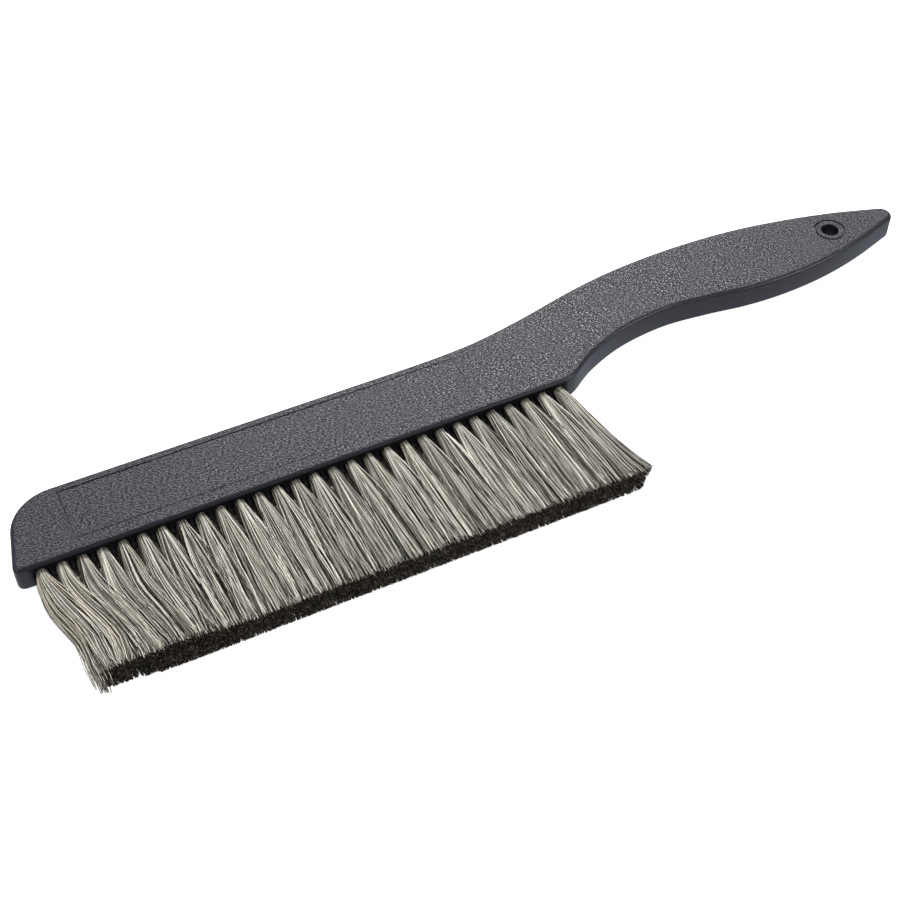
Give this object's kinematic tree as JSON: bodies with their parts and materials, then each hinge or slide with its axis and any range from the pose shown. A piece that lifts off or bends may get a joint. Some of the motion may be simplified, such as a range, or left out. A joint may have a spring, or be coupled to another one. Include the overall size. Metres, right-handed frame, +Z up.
{
  "type": "bee brush",
  "caption": "Long flat hand brush for moving bees off comb: moulded block and curved handle, soft hair tufts along one edge, hanging hole near the tip.",
  "frame": {"origin": "under the middle of the bounding box, on the surface the brush lies on", "axes": "+X runs along the brush from the block's free end to the handle's tip, the hair points along -Y, +Z is up out of the upper broad face"},
  "size_m": [0.3568, 0.0938, 0.01],
  "materials": {
    "handle_plastic": "charcoal black moulding with a fine pebbled grain on the broad faces",
    "hair": "soft natural animal hair, mixed taupe, grey and cream",
    "anchor_wire": "flat tinned wire"
  },
  "bodies": {
    "root": {"handle_block": "handle_plastic", "tuft_01": "hair", "anchor_01": "anchor_wire", "tuft_02": "hair", "anchor_02": "anchor_wire", "tuft_03": "hair", "anchor_03": "anchor_wire", "tuft_04": "hair", "anchor_04": "anchor_wire", "tuft_05": "hair", "anchor_05": "anchor_wire", "tuft_06": "hair", "anchor_06": "anchor_wire", "tuft_07": "hair", "anchor_07": "anchor_wire", "tuft_08": "hair", "anchor_08": "anchor_wire", "tuft_09": "hair", "anchor_09": "anchor_wire", "tuft_10": "hair", "anchor_10": "anchor_wire", "tuft_11": "hair", "anchor_11": "anchor_wire", "tuft_12": "hair", "anchor_12": "anchor_wire", "tuft_13": "hair", "anchor_13": "anchor_wire", "tuft_14": "hair", "anchor_14": "anchor_wire", "tuft_15": "hair", "anchor_15": "anchor_wire", "tuft_16": "hair", "anchor_16": "anchor_wire", "tuft_17": "hair", "anchor_17": "anchor_wire", "tuft_18": "hair", "anchor_18": "anchor_wire", "tuft_19": "hair", "anchor_19": "anchor_wire", "tuft_20": "hair", "anchor_20": "anchor_wire", "tuft_21": "hair", "anchor_21": "anchor_wire", "tuft_22": "hair", "anchor_22": "anchor_wire", "tuft_23": "hair", "anchor_23": "anchor_wire", "tuft_24": "hair", "anchor_24": "anchor_wire", "tuft_25": "hair", "anchor_25": "anchor_wire", "tuft_26": "hair", "anchor_26": "anchor_wire", "tuft_27": "hair", "anchor_27": "anchor_wire", "tuft_28": "hair", "anchor_28": "anchor_wire", "tuft_29": "hair", "anchor_29": "anchor_wire"}
  },
  "joints": []
}
